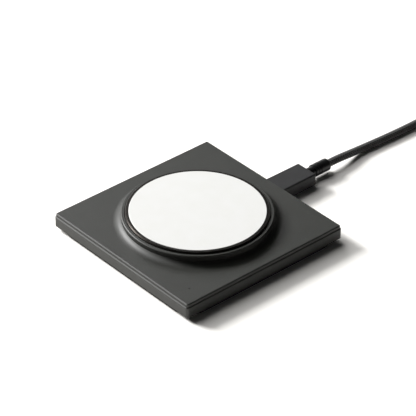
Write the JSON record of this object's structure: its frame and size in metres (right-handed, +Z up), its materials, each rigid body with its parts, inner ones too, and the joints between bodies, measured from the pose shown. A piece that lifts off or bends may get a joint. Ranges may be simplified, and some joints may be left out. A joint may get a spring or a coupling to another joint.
{
  "type": "wireless charging pad",
  "caption": "Square low wireless charging pad with a round raised magnetic white face on a flared boss, and a detachable braided USB-C cable.",
  "frame": {"origin": "on the table, under the middle of the pad", "axes": "+Z up out of the charging face, +X out of the cable port, +Y to the left of the port seen from above"},
  "size_m": [0.2187, 0.1018, 0.015],
  "materials": {
    "case_metal": "satin, fine bead-blasted charcoal grey",
    "ring_aluminium": "turned and anodised dark grey, polished chamfer",
    "face_silicone": "matte white silicone",
    "foot_silicone": "matte black silicone",
    "adhesive": "thin double-sided tape",
    "screw_steel": "zinc-plated steel",
    "carrier_plastic": "moulded black polycarbonate",
    "yoke_steel": "cold-rolled steel",
    "magnet_nickel": "nickel-plated",
    "ferrite": "sintered dark grey ferrite",
    "copper_wire": "enamelled copper",
    "chip_black": "black epoxy moulding",
    "board_laminate": "green solder resist on glass-epoxy",
    "capacitor_ceramic": "fired ceramic, tan",
    "crystal_can": "nickel-plated can",
    "thermal_silicone": "soft grey-blue gap filler",
    "light_acrylic": "smoked acrylic",
    "led_lens": "clear epoxy over phosphor",
    "ribbon_film": "amber polyimide film",
    "socket_plastic": "black liquid-crystal polymer",
    "port_steel": "nickel-plated stainless steel",
    "contact_gold": "gold-plated",
    "plug_plastic": "satin charcoal moulding, fine texture",
    "relief_rubber": "satin black elastomer",
    "cable_braid": "tight black braid with lighter flecks",
    "strap_fabric": "black hook-and-loop tape"
  },
  "bodies": {
    "pad": {"foot_pad": "foot_silicone", "foot_adhesive": "adhesive", "base_tray": "case_metal", "top_plate": "case_metal", "case_screws": "screw_steel", "puck_ring": "ring_aluminium", "puck_face": "face_silicone", "face_adhesive": "adhesive", "puck_carrier": "carrier_plastic", "puck_adhesive": "adhesive", "magnet_yoke": "yoke_steel", "magnets": "magnet_nickel", "ferrite_disc": "ferrite", "charging_coil": "copper_wire", "coil_leads": "copper_wire", "coil_sensor": "chip_black", "sensor_wires": "copper_wire", "circuit_board": "board_laminate", "board_screws": "screw_steel", "power_inductor": "ferrite", "charge_controller": "chip_black", "usb_power_chip": "chip_black", "power_switches": "chip_black", "tuning_capacitors": "capacitor_ceramic", "filter_capacitors": "capacitor_ceramic", "clock_crystal": "crystal_can", "thermal_pad": "thermal_silicone", "light_pipe": "light_acrylic", "status_led": "led_lens", "light_board": "board_laminate", "light_ribbon": "ribbon_film", "ribbon_socket": "socket_plastic", "port_shell": "port_steel", "port_tongue": "socket_plastic", "port_contacts": "contact_gold"},
    "cable": {"plug_shell": "port_steel", "plug_core": "socket_plastic", "plug_contacts": "contact_gold", "plug_card": "board_laminate", "plug_overmould": "plug_plastic", "plug_relief": "relief_rubber", "cable_tube": "cable_braid", "cable_coil": "cable_braid", "cable_strap": "strap_fabric", "cable_tail": "cable_braid", "far_plug_shell": "port_steel", "far_plug_core": "socket_plastic", "far_plug_contacts": "contact_gold", "far_plug_card": "board_laminate", "far_plug_overmould": "plug_plastic", "far_plug_relief": "relief_rubber"}
  },
  "joints": [
    {"name": "plug_slide", "type": "slide", "parent": "pad", "child": "cable", "axis": [1, 0, 0], "range_m": [0, 0.009]}
  ]
}
